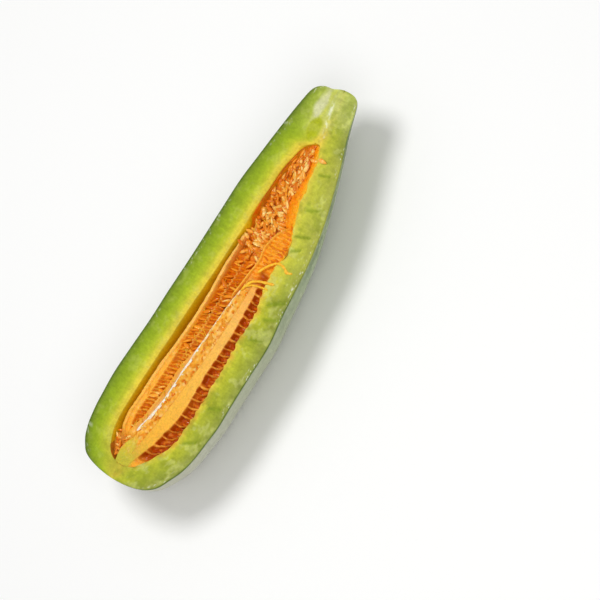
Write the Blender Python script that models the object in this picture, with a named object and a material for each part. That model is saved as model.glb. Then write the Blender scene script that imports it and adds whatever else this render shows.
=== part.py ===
"""A long muskmelon cut in half lengthwise, lying on its rind with the cut face up and level.

Frame: +X runs from the blossom end to the stem end, +Y to the side where the cavity wall is bare,
+Z up, square to the cut face. The origin is at the bottom centre of the half. Metres throughout.
The rind and the flesh grew as one piece. The seed pulp rests in the cavity and the seeds rest on it.
"""
import math
import random

import bmesh
import bpy
import numpy
from mathutils import Euler, Matrix, Vector

# Overall sizes of the half.
MELON_LENGTH = 0.270
MELON_WIDTH = 0.0850
MELON_DEPTH = 0.0420
STEM_END_WIDTH = 0.0320
SIDE_BOW = 0.0065
BLOSSOM_END_TURN = 0.0017
UNDERSIDE_BOW = 0.0060
# Just under the cut face the rind turns in by these shares of the half width, more at the stem.
RIND_TUCK = 0.16
STEM_TUCK = 0.32
# The half is this share less deep at the stem end.
STEM_SHALLOWING = 0.14
SCAR_WIDTH = 0.0110
SCAR_DEPTH = 0.0022
RESTING_SPOT_DEPTH = 0.0006
# The knife passes this far under the long axis of the fruit.
KNIFE_OFFSET = 0.0003

# Seed cavity. Its ends are set back from the two ends of the fruit, which leaves the end flesh.
CAVITY_WIDTH = 0.0450
CAVITY_DEPTH = 0.0215
BLOSSOM_END_FLESH = 0.0100
STEM_END_FLESH = 0.0350
CAVITY_OFFSET = -0.0007

# Seed pulp, measured down from the cut face.
FIT_GAP = 0.0005
PULP_TOP_DEPTH = 0.0006
PULP_RIDGE_DEPTH = 0.0020
PULP_VALLEY_DEPTH = 0.0040
SIDE_GUTTER_DEPTH = 0.0070
BED_DEPTH = 0.0070
# The top of the pulp goes no deeper than this share of the cavity's own depth below it.
PULP_FLOOR_SHARE = 0.75

# Seeds.
SEED_LENGTH = 0.0060
SEED_WIDTH = 0.0028
SEED_THICKNESS = 0.0014
SEED_ROOM = 0.0010
ROW_SEEDS = 20
BED_ROWS = (3, 3, 3, 3, 3, 3, 3, 2, 1)
RANDOM_SEED = 7

# Lengthwise stations run from -1 at the blossom end to 1 at the stem end.
# Half the width of the fruit at a few stations, as a share of its greatest half width.
BARREL = ((-1.0, 1.025), (-0.4, 1.0), (0.0, 0.935), (0.3, 0.852), (0.6, 0.685))
BLOSSOM_END_POWER = 8
STEM_END_POWER = 60
BLOSSOM_CAP_START = -0.80
BLOSSOM_TURN_START = -0.66
BLOSSOM_TURN_REACH = 0.26
STEM_CAP_START = 0.93
UNDERSIDE_LOW_STATION = 0.30
UNDERSIDE_LEVEL = 0.36
STEM_HALF_START = 0.1
STEM_HALF_REACH = 0.8
# Half the width of the cavity along its own length, as a share of its greatest half width.
CAVITY_BARREL = ((-1.0, 1.24), (-0.5, 1.06), (0.0, 0.97), (0.45, 0.78), (1.0, 0.60))
# The cavity runs a little across the fruit: sideways metres for each metre along it.
CAVITY_SLANT = -0.028
CAVITY_END_POWER = 5
# The row of seed pockets and the open bed, between these stations of the fruit.
ROW_START = -0.78
ROW_END = 0.03
BED_START = 0.19
BED_END = 0.64
BED_BLEND = 0.16

# How finely the solids are faceted.
BODY_SIDES = 40
BODY_RINGS = 42
CAVITY_SIDES = 36
CAVITY_RINGS = 34
SEED_SIDES = 8
SEED_RINGS = 6

HALF_LENGTH = MELON_LENGTH / 2
HALF_WIDTH = MELON_WIDTH / 2
CUT_PLANE = MELON_DEPTH - RESTING_SPOT_DEPTH
AXIS_HEIGHT = CUT_PLANE + KNIFE_OFFSET
CAVITY_START = -HALF_LENGTH + BLOSSOM_END_FLESH
CAVITY_STOP = HALF_LENGTH - STEM_END_FLESH
TROUGH_WIDTH = SEED_LENGTH + 2 * SEED_ROOM
TROUGH_DEPTH = SEED_WIDTH + SEED_THICKNESS + 3 * SEED_ROOM

RIND_AND_FLESH = (0.42, 0.50, 0.10)
PULP_ORANGE = (0.80, 0.36, 0.03)
ROW_SEED_ORANGE = (0.52, 0.11, 0.01)
BED_SEED_CREAM = (0.86, 0.50, 0.16)


def smooth_curve(points, where):
    """Read a smooth curve through a few (station, value) points."""
    stations = numpy.array([point[0] for point in points])
    values = numpy.array([point[1] for point in points])
    slopes = numpy.gradient(values, stations)
    where = min(max(where, stations[0]), stations[-1])
    i = min(int(numpy.searchsorted(stations, where, side="right")) - 1, len(stations) - 2)
    span = stations[i + 1] - stations[i]
    t = (where - stations[i]) / span
    start = (2 * t**3 - 3 * t**2 + 1) * values[i] + (t**3 - 2 * t**2 + t) * span * slopes[i]
    end = (3 * t**2 - 2 * t**3) * values[i + 1] + (t**3 - t**2) * span * slopes[i + 1]
    return float(start + end)


def blend(t):
    """Ease from 0 to 1 as t goes from 0 to 1."""
    t = min(max(t, 0.0), 1.0)
    return t * t * (3 - 2 * t)


def barrel_half_width(station):
    """Half width of the fruit before its two ends round off."""
    points = BARREL + ((1.0, STEM_END_WIDTH / MELON_WIDTH),)
    return HALF_WIDTH * smooth_curve(points, station)


def half_width(station):
    """Half width of the fruit at a station, both ends rounded off."""
    power = BLOSSOM_END_POWER if station < 0 else STEM_END_POWER
    return barrel_half_width(station) * math.sqrt(max(1 - abs(station) ** power, 0))


def centre_line(station):
    """Sideways place of the middle of the fruit: it bows to -Y and turns to +Y at the blossom end."""
    turn = BLOSSOM_END_TURN * blend((BLOSSOM_TURN_START - station) / BLOSSOM_TURN_REACH)
    return turn - SIDE_BOW * (1 - station**2)


def underside_sag(station):
    """How far the underside bows down, less than nothing towards the two ends."""
    return UNDERSIDE_BOW * (UNDERSIDE_LEVEL - (station - UNDERSIDE_LOW_STATION) ** 2)


def stemward(station):
    """0 in the blossom half, rising to 1 towards the stem end."""
    return blend((station - STEM_HALF_START) / STEM_HALF_REACH)


def depth_share(station):
    """Depth of the half below its cut face as a share of half the local width."""
    barrel = barrel_half_width(station)
    return (barrel + underside_sag(station)) / barrel * (1 - STEM_SHALLOWING * stemward(station))


STATIONS = [i / 200 for i in range(-199, 200)]
DEPTH_SCALE = (MELON_DEPTH + KNIFE_OFFSET) / max(depth_share(s) * half_width(s) for s in STATIONS)
# The sideways middle of the half's own box, which is the frame's Y = 0.
FRAME_Y = (max(centre_line(s) + half_width(s) for s in STATIONS)
           + min(centre_line(s) - half_width(s) for s in STATIONS)) / 2


def side_place(station):
    """Y of the middle of the fruit in the half's own frame."""
    return centre_line(station) - FRAME_Y


def cavity_share(x):
    """Where x lies along the cavity, from -1 to 1."""
    return 2 * (x - CAVITY_START) / (CAVITY_STOP - CAVITY_START) - 1


def cavity_half_width(x):
    """Half width of the cavity at the cut face."""
    share = min(max(cavity_share(x), -1.0), 1.0)
    barrel = CAVITY_WIDTH / 2 * smooth_curve(CAVITY_BARREL, share)
    return barrel * math.sqrt(1 - abs(share) ** CAVITY_END_POWER)


def cavity_middle(x):
    """Y of the middle of the cavity."""
    return side_place(x / HALF_LENGTH) + CAVITY_OFFSET + CAVITY_SLANT * x


def cavity_depth(x):
    """Depth of the cavity below the cut face, in step with its width."""
    return CAVITY_DEPTH * cavity_half_width(x) / (CAVITY_WIDTH / 2)


def material(name, colour, roughness):
    made = bpy.data.materials.new(name)
    made.use_nodes = True
    shader = made.node_tree.nodes["Principled BSDF"]
    shader.inputs["Base Color"].default_value = (*colour, 1.0)
    shader.inputs["Roughness"].default_value = roughness
    shader.inputs["Metallic"].default_value = 0.0
    return made


def face_outwards(bm):
    """Turn the faces of a closed form outwards after its points have moved."""
    if bm.calc_volume(signed=True) < 0:
        bmesh.ops.reverse_faces(bm, faces=bm.faces)


def shaped_sphere(name, collection, sides, rings, place):
    """Pull a sphere into a long form: place(t, around) gives a point for each of its vertices.

    t runs from 0 at one pole to 1 at the other, and around is the angle about the long axis,
    with 0 along +Y and a quarter turn along +Z.
    """
    bm = bmesh.new()
    bmesh.ops.create_uvsphere(bm, u_segments=sides, v_segments=rings, radius=1.0)
    for vertex in bm.verts:
        t = 1 - math.acos(min(max(vertex.co.z, -1.0), 1.0)) / math.pi
        around = math.atan2(vertex.co.y, vertex.co.x)
        vertex.co = place(t, around)
    face_outwards(bm)
    mesh = bpy.data.meshes.new(name)
    bm.to_mesh(mesh)
    bm.free()
    made = bpy.data.objects.new(name, mesh)
    collection.objects.link(made)
    return made


def box_cutter(name, collection, low, high):
    bm = bmesh.new()
    bmesh.ops.create_cube(bm, size=1.0)
    size = Vector(high) - Vector(low)
    bmesh.ops.scale(bm, vec=size, verts=bm.verts)
    bmesh.ops.translate(bm, vec=(Vector(low) + Vector(high)) / 2, verts=bm.verts)
    mesh = bpy.data.meshes.new(name)
    bm.to_mesh(mesh)
    bm.free()
    made = bpy.data.objects.new(name, mesh)
    collection.objects.link(made)
    hide_cutter(made)
    return made


def hide_cutter(cutter):
    cutter.hide_render = True
    cutter.display_type = "WIRE"


def cut(target, cutter):
    modifier = target.modifiers.new("cut_" + cutter.name, "BOOLEAN")
    modifier.operation = "DIFFERENCE"
    modifier.solver = "EXACT"
    modifier.object = cutter


def body_ring(t):
    """Station and half width of the fruit for t from 0 (blossom end) to 1 (stem end)."""
    blossom_share = 0.2
    stem_share = 0.2
    if t < blossom_share:
        end_angle = math.acos(abs(BLOSSOM_CAP_START) ** (BLOSSOM_END_POWER / 2))
        angle = end_angle * t / blossom_share
        station = -math.cos(angle) ** (2 / BLOSSOM_END_POWER)
        return station, barrel_half_width(station) * math.sin(angle)
    if t > 1 - stem_share:
        end_angle = math.acos(STEM_CAP_START ** (STEM_END_POWER / 2))
        angle = end_angle * (1 - t) / stem_share
        station = math.cos(angle) ** (2 / STEM_END_POWER)
        return station, barrel_half_width(station) * math.sin(angle)
    share = (t - blossom_share) / (1 - blossom_share - stem_share)
    station = BLOSSOM_CAP_START + share * (STEM_CAP_START - BLOSSOM_CAP_START)
    return station, half_width(station)


def ring_x(station, radius):
    """X of a ring of the rind. The stem end sinks to a shallow round scar."""
    x = station * HALF_LENGTH
    if station > STEM_CAP_START:
        x -= SCAR_DEPTH * math.exp(-(2 * radius / SCAR_WIDTH) ** 2)
    return x


STEM_CAP_REACH = max(ring_x(*body_ring(i / BODY_RINGS)) for i in range(BODY_RINGS + 1))
STEM_CAP_STRETCH = HALF_LENGTH - STEM_CAP_REACH


def body_point(t, around):
    """A point of the rind, with the rim round the scar at the full length of the fruit."""
    station, radius = body_ring(t)
    x = ring_x(station, radius)
    if station > STEM_CAP_START:
        x += STEM_CAP_STRETCH
    depth = radius * depth_share(station) * DEPTH_SCALE
    tuck = RIND_TUCK + (STEM_TUCK - RIND_TUCK) * stemward(station)
    turned_in = 1 - tuck * max(-math.sin(around), 0)
    y = side_place(station) + radius * math.cos(around) * turned_in
    return Vector((x, y, AXIS_HEIGHT + depth * math.sin(around)))


def cavity_ring(t):
    """X of a cavity ring, closer together at the two round ends."""
    share = -math.cos(math.pi * t)
    return CAVITY_START + (share + 1) / 2 * (CAVITY_STOP - CAVITY_START)


def cavity_point(t, around):
    x = cavity_ring(t)
    y = cavity_middle(x) + cavity_half_width(x) * math.cos(around)
    return Vector((x, y, AXIS_HEIGHT + cavity_depth(x) * math.sin(around)))


def trough_edge(x):
    """Y where the flat top of the pulp drops into the row of seed pockets."""
    return cavity_middle(x) - cavity_half_width(x) + TROUGH_WIDTH


def bed_share(station):
    """0 along the row of pockets, 1 on the open bed near the stem end."""
    return blend((station - BED_START) / BED_BLEND + 1)


def pulp_depth(x, y):
    """Depth of the top of the pulp below the cut face."""
    half = cavity_half_width(x)
    middle = cavity_middle(x)
    across = (y - middle) / half
    edge = (trough_edge(x) - middle) / half
    lower_part = ((-1.0, TROUGH_DEPTH), (edge - 0.10, TROUGH_DEPTH), (edge + 0.02, PULP_TOP_DEPTH),
                  (edge + 0.35, PULP_TOP_DEPTH), (edge + 0.75, PULP_VALLEY_DEPTH),
                  (0.66, PULP_RIDGE_DEPTH), (0.88, SIDE_GUTTER_DEPTH), (1.0, SIDE_GUTTER_DEPTH))
    stations = [point[0] for point in lower_part]
    depths = [point[1] for point in lower_part]
    lower = float(numpy.interp(across, stations, depths))
    bed = BED_DEPTH - (BED_DEPTH - PULP_RIDGE_DEPTH) * across**4
    share = bed_share(x / HALF_LENGTH)
    depth = lower + share * (bed - lower)
    floor = (cavity_depth(x) - FIT_GAP) * math.sqrt(max(1 - across**2, 0))
    return min(depth, PULP_FLOOR_SHARE * floor)


def pulp_point(t, around):
    """The pulp fits the cavity below and has its own top, both sides meeting at the wall."""
    squeeze = 1 - 2 * FIT_GAP / (CAVITY_STOP - CAVITY_START)
    middle_x = (CAVITY_START + CAVITY_STOP) / 2
    wall_x = cavity_ring(t)
    x = middle_x + (wall_x - middle_x) * squeeze
    width = max(cavity_half_width(wall_x) - FIT_GAP, 0)
    depth = max(cavity_depth(wall_x) - FIT_GAP, 0)
    rim = -math.radians(26)
    if math.sin(around) <= 0:
        angle = rim + (math.pi + 2 * rim) * around / math.pi
        y = cavity_middle(x) + width * math.cos(angle)
        return Vector((x, y, CUT_PLANE + depth * math.sin(angle)))
    top_share = 1 - 2 * around / math.pi
    y = cavity_middle(x) + width * math.cos(rim) * top_share
    floor = depth * math.sqrt(1 - (math.cos(rim) * top_share) ** 2)
    top = min(pulp_depth(wall_x, y), PULP_FLOOR_SHARE * floor)
    near_rim = blend((abs(top_share) - 0.94) / 0.06)
    return Vector((x, y, CUT_PLANE - top - near_rim * (floor - top)))


def seed_mesh(name):
    """A flat seed: a sphere pressed to a lens and narrowed towards its pointed tip at +X."""
    bm = bmesh.new()
    bmesh.ops.create_uvsphere(bm, u_segments=SEED_SIDES, v_segments=SEED_RINGS, radius=0.5)
    for vertex in bm.verts:
        along = vertex.co.z
        taper = 1 - 0.7 * along
        vertex.co = Vector((along * SEED_LENGTH,
                            vertex.co.x * SEED_WIDTH * taper,
                            vertex.co.y * SEED_THICKNESS * taper))
    face_outwards(bm)
    mesh = bpy.data.meshes.new(name)
    bm.to_mesh(mesh)
    bm.free()
    return mesh


def lowest_clearance(place, turn, mesh):
    """Height of the seed's lowest point above the pulp, over all its vertices."""
    matrix = Matrix.Translation(place) @ turn.to_matrix().to_4x4()
    gaps = []
    for vertex in mesh.vertices:
        point = matrix @ vertex.co
        gaps.append(point.z - (CUT_PLANE - pulp_depth(point.x, point.y)))
    return min(gaps)


def add_seed(name, collection, mesh, place, turn):
    """Lower a seed onto the pulp until it just clears it."""
    rise = FIT_GAP - lowest_clearance(place, turn, mesh)
    made = bpy.data.objects.new(name, mesh)
    made.location = Vector(place) + Vector((0, 0, rise))
    made.rotation_euler = turn
    collection.objects.link(made)
    return made


def add_row_seeds(collection, mesh):
    """Seeds on edge, side by side along the row, each pointing at the middle of the fruit."""
    rng = random.Random(RANDOM_SEED)
    for i in range(ROW_SEEDS):
        station = ROW_START + (ROW_END - ROW_START) * i / (ROW_SEEDS - 1)
        x = station * HALF_LENGTH
        wall = cavity_middle(x) - cavity_half_width(x)
        y = wall + TROUGH_WIDTH / 2 + SEED_ROOM / 4
        on_edge = Euler((math.pi / 2, math.radians(rng.uniform(4, 12)), math.pi / 2), "XYZ")
        add_seed("row_seed_%02d" % (i + 1), collection, mesh, (x, y, CUT_PLANE), on_edge)


def add_bed_seeds(collection, mesh):
    """Seeds lying flat in staggered rows on the open bed."""
    rng = random.Random(RANDOM_SEED + 1)
    count = 0
    for row, columns in enumerate(BED_ROWS):
        station = BED_START + (BED_END - BED_START) * row / (len(BED_ROWS) - 1)
        x = station * HALF_LENGTH
        for column in range(columns):
            across = (column - (columns - 1) / 2) * 0.50
            along = ((column % 2) - 0.5) * SEED_ROOM
            y = cavity_middle(x) + across * cavity_half_width(x)
            flat = Euler((0, 0, math.radians(rng.uniform(-16, 16)) + math.pi * rng.randint(0, 1)), "XYZ")
            count += 1
            add_seed("bed_seed_%02d" % count, collection, mesh, (x + along, y, CUT_PLANE), flat)


def give(made, look):
    made.data.materials.clear()
    made.data.materials.append(look)


def build():
    for old in list(bpy.data.objects):
        bpy.data.objects.remove(old, do_unlink=True)
    parts = bpy.data.collections.new("muskmelon_half")
    cutters = bpy.data.collections.new("cutters")
    bpy.context.scene.collection.children.link(parts)
    bpy.context.scene.collection.children.link(cutters)

    body = shaped_sphere("rind_and_flesh", parts, BODY_SIDES, BODY_RINGS, body_point)
    reach = MELON_LENGTH
    upper_half = box_cutter("upper_half", cutters, (-reach, -reach, CUT_PLANE), (reach, reach, reach))
    under = box_cutter("under_resting_spot", cutters, (-reach, -reach, -reach), (reach, reach, 0.0))
    cavity = shaped_sphere("seed_cavity", cutters, CAVITY_SIDES, CAVITY_RINGS, cavity_point)
    hide_cutter(cavity)
    cut(body, upper_half)
    cut(body, under)
    cut(body, cavity)
    give(body, material("rind_and_flesh", RIND_AND_FLESH, 0.45))

    pulp = shaped_sphere("seed_pulp", parts, CAVITY_SIDES, CAVITY_RINGS, pulp_point)
    give(pulp, material("seed_pulp", PULP_ORANGE, 0.35))

    row_mesh = seed_mesh("row_seed")
    row_mesh.materials.append(material("row_seed", ROW_SEED_ORANGE, 0.30))
    add_row_seeds(parts, row_mesh)
    bed_mesh = seed_mesh("bed_seed")
    bed_mesh.materials.append(material("bed_seed", BED_SEED_CREAM, 0.30))
    add_bed_seeds(parts, bed_mesh)


build()
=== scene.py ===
import math

import bmesh
import bpy
import numpy as np
from mathutils import Euler, Matrix, Vector


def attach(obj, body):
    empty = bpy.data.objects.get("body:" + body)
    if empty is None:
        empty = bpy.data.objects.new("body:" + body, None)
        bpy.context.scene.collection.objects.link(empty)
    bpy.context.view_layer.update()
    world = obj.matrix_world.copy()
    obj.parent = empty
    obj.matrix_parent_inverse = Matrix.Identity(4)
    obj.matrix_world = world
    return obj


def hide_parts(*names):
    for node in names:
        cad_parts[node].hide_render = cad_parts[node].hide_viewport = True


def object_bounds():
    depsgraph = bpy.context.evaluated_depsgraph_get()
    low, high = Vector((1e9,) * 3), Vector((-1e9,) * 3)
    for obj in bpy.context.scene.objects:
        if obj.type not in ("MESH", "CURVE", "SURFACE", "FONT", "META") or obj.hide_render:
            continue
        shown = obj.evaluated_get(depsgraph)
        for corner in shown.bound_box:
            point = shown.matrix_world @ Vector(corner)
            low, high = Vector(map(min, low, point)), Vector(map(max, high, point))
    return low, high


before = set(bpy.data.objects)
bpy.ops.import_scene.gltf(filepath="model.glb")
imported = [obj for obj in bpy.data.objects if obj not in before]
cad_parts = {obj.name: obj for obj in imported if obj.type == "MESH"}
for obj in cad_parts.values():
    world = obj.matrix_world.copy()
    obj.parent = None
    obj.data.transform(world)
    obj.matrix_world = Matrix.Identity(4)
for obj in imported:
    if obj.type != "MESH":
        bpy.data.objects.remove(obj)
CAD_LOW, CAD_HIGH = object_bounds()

# A long muskmelon cut in half lengthwise. Lengths below are millimetres in the frame's axes:
# x from the blossom end to the stem end, y across, z up from the resting spot. MM turns them
# into the frame's metres. "Depth" is always measured down from the level cut face.
MM = 0.001
HALF_LENGTH = (CAD_HIGH.x - CAD_LOW.x) / 2 / MM
HALF_WIDTH = 42.5
CUT = CAD_HIGH.z / MM
SIDE_BOW = 6.5
UNDER_BOW = 6.0
BLOSSOM_END_TURN = 2.3
SCAR_WIDTH = 9.0
SCAR_SINK = 1.2
SCAR_Y = 7.0
CAVITY_LOW = -125.0
CAVITY_HIGH = 100.0
CAVITY_HALF_WIDTH = 22.5
CAVITY_DEPTH = 21.5
# The cavity lies this far off the middle and runs across the fruit by this much a millimetre.
CAVITY_OFFSET = 0.7
CAVITY_SLANT = 0.028
# Share of the cavity's half width over which its wall curves in to the floor.
WALL_CURVE = 0.82

# Half width of the fruit along it, as shares of the greatest half width.
BARREL = ((-1.0, 1.04), (-0.4, 1.012), (0.0, 0.945), (0.3, 0.867), (0.6, 0.708), (1.0, 0.40))
# Half width of the seed cavity along its own length, as shares of its greatest.
CAVITY_BARREL = ((-1.0, 1.24), (-0.5, 1.06), (0.0, 0.97), (0.45, 0.78), (1.0, 0.60))


# ---------------------------------------------------------------- curves and noise

def curve(points, where):
    """A smooth curve through a few (station, value) points, read at every place in an array."""
    stations = np.array([point[0] for point in points], float)
    values = np.array([point[1] for point in points], float)
    slopes = np.gradient(values, stations)
    where = np.clip(np.asarray(where, float), stations[0], stations[-1])
    i = np.clip(np.searchsorted(stations, where, side="right") - 1, 0, len(stations) - 2)
    span = stations[i + 1] - stations[i]
    t = (where - stations[i]) / span
    start = (2 * t**3 - 3 * t**2 + 1) * values[i] + (t**3 - 2 * t**2 + t) * span * slopes[i]
    end = (3 * t**2 - 2 * t**3) * values[i + 1] + (t**3 - t**2) * span * slopes[i + 1]
    return start + end


def ease(low, high, value):
    """0 below low, 1 above high, and a soft step between."""
    t = np.clip((np.asarray(value, float) - low) / (high - low), 0, 1)
    return t * t * (3 - 2 * t)


def fade(low, high, value):
    """1 below low, 0 above high, and a soft step between."""
    return 1 - ease(low, high, value)


def bell(value, middle, width):
    return np.exp(-((value - middle) / width) ** 2)


def read_at(points, x):
    """The value of a curve at one place."""
    return float(curve(points, x))


def lumps(x, y, size, seed):
    """Soft random lumps about -1 to 1, each about one size across."""
    table = np.random.RandomState(seed).uniform(-1, 1, (64, 64))
    u = np.asarray(x, float) / size + 1000
    v = np.asarray(y, float) / size + 1000
    i = np.floor(u).astype(int)
    j = np.floor(v).astype(int)
    a = ease(0, 1, u - i)
    b = ease(0, 1, v - j)
    top = table[i % 64, j % 64] * (1 - a) + table[(i + 1) % 64, j % 64] * a
    bottom = table[i % 64, (j + 1) % 64] * (1 - a) + table[(i + 1) % 64, (j + 1) % 64] * a
    return top * (1 - b) + bottom * b


# ---------------------------------------------------------------- the fruit's own lines

# Lines on the cut face, as (x, y) points. A line that lies deeper is given where it really is.
RIDGE = ((-110, 18.8), (-97, 21.3), (-83, 20.2), (-61, 18.3), (-41, 15.2), (-14, 12.9), (10, 12.8),
         (36, 11.4))
STRIP_LEFT = ((42, -13.5), (50, -8.0), (62, -3.6), (77, -4.6), (90, -3.0), (98, -1.0))
TONGUE_LEFT = ((-125, 12.8), (-116, 13.8), (-109, 11.5), (-103, 8.0))
STRAND = ((-104, 10.5), (-94, 7.1), (-78, 3.4), (-57, 1.5), (-35, -0.5), (-17, -2.4), (3, -6.0))
BAND_LEFT = ((-121, 5.6), (-104, 1.8), (-84, -2.4), (-60, -6.4), (-36, -9.5), (-12, -11.1), (8, -12.4))
BAND_RIGHT = ((-121, 1.6), (-114, -1.8), (-107, -5.3), (-95, -9.5), (-84, -12.8), (-73, -13.8),
              (-53, -14.5), (-28, -16.6), (-4, -16.8), (10, -16.0))
MEMBRANE = ((-6, -1.5), (4, -3.6), (14, -5.3), (21, -6.8), (32, -6.0), (40, -8.4), (46, -12.5), (50, -17.0))
LEFT_RIM = ((-125, 15.5), (-118, 21.2), (-111, 24.8), (-103, 26.2), (-87, 25.9), (-64, 24.3),
            (-43, 22.3), (-26, 21.0), (-10, 19.3), (5, 17.7), (20, 16.6), (33, 15.4), (50, 14.8),
            (63, 13.0), (79, 12.0), (87, 9.4), (95, 7.4), (101, 3.0))
RIGHT_RIM = ((-125, 1.0), (-119, -4.5), (-113, -9.6), (-101, -17.6), (-89, -20.7), (-79, -22.0),
             (-58, -22.7), (-34, -22.6), (-15, -23.8), (-4, -23.6), (4, -21.2), (14, -19.4),
             (24, -20.6), (33, -22.2), (42, -20.8), (57, -15.6), (76, -11.8), (90, -9.4), (97, -5.6),
             (101, 1.0))


def barrel(station):
    return HALF_WIDTH * curve(BARREL, station)


# How far the cut edge stands outside the even outline, on the left and on the right.
LEFT_SWELL = ((-135, 0.0), (-130, 1.0), (-126, -0.8), (-120, -1.6), (-110, -1.0), (-100, 0.5),
              (-80, 2.2), (-60, 1.7), (-40, 1.0), (-20, 1.1), (0, 0.7), (40, 0.6), (60, 1.3), (80, 0.7),
              (100, 0.4), (120, 0.0), (135, -0.5))
RIGHT_SWELL = ((-135, 0.0), (-130, -1.7), (-126, -3.2), (-120, -4.9), (-110, -4.4), (-100, -4.2),
               (-90, -4.0), (-80, -2.8), (-60, -2.4), (-40, -1.2), (-20, 0.6), (0, -0.2), (20, 0.2),
               (40, 0.9), (60, 1.0), (80, 0.2), (100, -0.5), (120, -1.2), (135, 0.0))
# How strongly the rind turns inwards just under the cut edge.
TUCK = ((-135, 0.16), (-60, 0.16), (20, 0.17), (40, 0.22), (60, 0.28), (100, 0.32), (135, 0.34))
STEM_SLANT = 0.16


def end_power(station):
    return np.where(np.asarray(station) < 0, 12.0, 60.0)


def fruit_half_width(x):
    station = np.clip(np.asarray(x, float) / HALF_LENGTH, -1, 1)
    return barrel(station) * np.sqrt(np.clip(1 - np.abs(station) ** end_power(station), 0, 1))


def fruit_bow(x):
    station = np.asarray(x, float) / HALF_LENGTH
    return BLOSSOM_END_TURN * ease(0.66, 0.92, -station) - SIDE_BOW * (1 - station**2)


ALONG = np.linspace(-HALF_LENGTH, HALF_LENGTH, 400)
FRUIT_Y = -((fruit_bow(ALONG) + fruit_half_width(ALONG)).max()
            + (fruit_bow(ALONG) - fruit_half_width(ALONG)).min()) / 2


def fruit_middle(x):
    return FRUIT_Y + fruit_bow(x)


def under_share(x):
    """Depth of the rind under the cut face as a share of the local half width."""
    station = np.asarray(x, float) / HALF_LENGTH
    sag = UNDER_BOW * (0.36 - (station - 0.3) ** 2)
    return (barrel(station) + sag) / barrel(station) * (0.995 - 0.14 * ease(0.1, 0.9, station))


def edge_half_width(x, side):
    """Half width of the cut face on one side: 1 is the left side, -1 the right."""
    half = fruit_half_width(x)
    return half + curve(LEFT_SWELL if side > 0 else RIGHT_SWELL, x) * ease(2, 20, half)


def cavity_share(x):
    return np.clip(2 * (np.asarray(x, float) - CAVITY_LOW) / (CAVITY_HIGH - CAVITY_LOW) - 1, -1, 1)


def cavity_half_width(x):
    share = cavity_share(x)
    return CAVITY_HALF_WIDTH * curve(CAVITY_BARREL, share) * np.sqrt(1 - np.abs(share) ** 5)


def cavity_middle(x):
    return fruit_middle(x) - CAVITY_OFFSET - CAVITY_SLANT * np.asarray(x, float)


def cavity_depth(x):
    return CAVITY_DEPTH * cavity_half_width(x) / CAVITY_HALF_WIDTH


def scallop(x):
    """How the right wall swells in and out between the seed pockets."""
    along = ease(-118, -100, x) * fade(8, 24, x)
    waves = 0.8 * np.abs(np.sin(math.pi * pocket_phase(x))) - 0.4
    return -along * waves + 1.0 * lumps(x, 0 * x, 8, 21) + 0.35 * lumps(x, 0 * x, 2.6, 22)


POCKETS = 22
POCKET_START = -112.0
POCKET_END = 8.0
POCKET_GAIN = 1.08


def pocket_phase(x):
    """Whole numbers fall on the walls between pockets."""
    share = (np.asarray(x, float) - POCKET_START) / (POCKET_END - POCKET_START)
    return np.sign(share) * np.abs(share) ** POCKET_GAIN * POCKETS + 0.28 * lumps(x, 0 * x, 9, 23)


# ---------------------------------------------------------------- making meshes

def closed_form(name, grid):
    """A sphere primitive pulled to a grid of points: one ring for each row, poles at both ends."""
    rings, sides = grid.shape[0] - 1, grid.shape[1]
    bpy.ops.object.select_all(action="DESELECT")
    bpy.ops.mesh.primitive_uv_sphere_add(segments=sides, ring_count=rings, radius=1.0)
    made = bpy.context.object
    made.name = name
    mesh = made.data
    mesh.name = name
    at = np.zeros(len(mesh.vertices) * 3)
    mesh.vertices.foreach_get("co", at)
    at = at.reshape(-1, 3)
    row = np.rint((1 - np.arccos(np.clip(at[:, 2], -1, 1)) / math.pi) * rings).astype(int)
    column = np.rint(np.arctan2(at[:, 1], at[:, 0]) / (2 * math.pi) * sides).astype(int) % sides
    places = grid[row, column] * MM
    mesh.vertices.foreach_set("co", places.ravel())
    mesh.update()
    bm = bmesh.new()
    bm.from_mesh(mesh)
    if bm.calc_volume(signed=True) < 0:
        bmesh.ops.reverse_faces(bm, faces=bm.faces)
    bm.to_mesh(mesh)
    bm.free()
    return made, row, column


def paint_number(made, name, values):
    layer = made.data.attributes.new(name, "FLOAT", "POINT")
    layer.data.foreach_set("value", np.asarray(values, np.float32).ravel())


def paint_colour(made, name, colours):
    layer = made.data.attributes.new(name, "FLOAT_COLOR", "POINT")
    full = np.ones((len(colours), 4), np.float32)
    full[:, :3] = colours
    layer.data.foreach_set("color", full.ravel())


def linear(code):
    """sRGB hex such as "a0b020" as linear red, green and blue."""
    parts = [int(code[i:i + 2], 16) / 255 for i in (0, 2, 4)]
    return tuple(c / 12.92 if c <= 0.04045 else ((c + 0.055) / 1.055) ** 2.4 for c in parts)


def tints(stops, where):
    """Colours read off (place, hex) stops at every place in an array."""
    places = [stop[0] for stop in stops]
    colours = np.array([linear(stop[1]) for stop in stops])
    return np.stack([np.interp(where, places, colours[:, i]) for i in range(3)], axis=-1)


def blend(a, b, share):
    return a * (1 - share) + b * share


def mix(a, b, share):
    """Blend two arrays of colours by a share for each point."""
    share = np.asarray(share, float)[..., None]
    return blend(a, b, share)


def stain(colours, code, share):
    """Mix one sRGB hex colour into an array of colours."""
    return mix(colours, np.array(linear(code)), share)


# ---------------------------------------------------------------- materials

def node(tree, kind, settings=(), links=()):
    """Add a node, set its sockets and fields by name, and link (socket, from node, output)."""
    made = tree.nodes.new(kind)
    for key, value in dict(settings).items():
        if isinstance(key, int) or key in made.inputs:
            made.inputs[key].default_value = value
        else:
            setattr(made, key, value)
    for socket, source, output in links:
        tree.links.new(source.outputs[output], made.inputs[socket])
    return made


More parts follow.
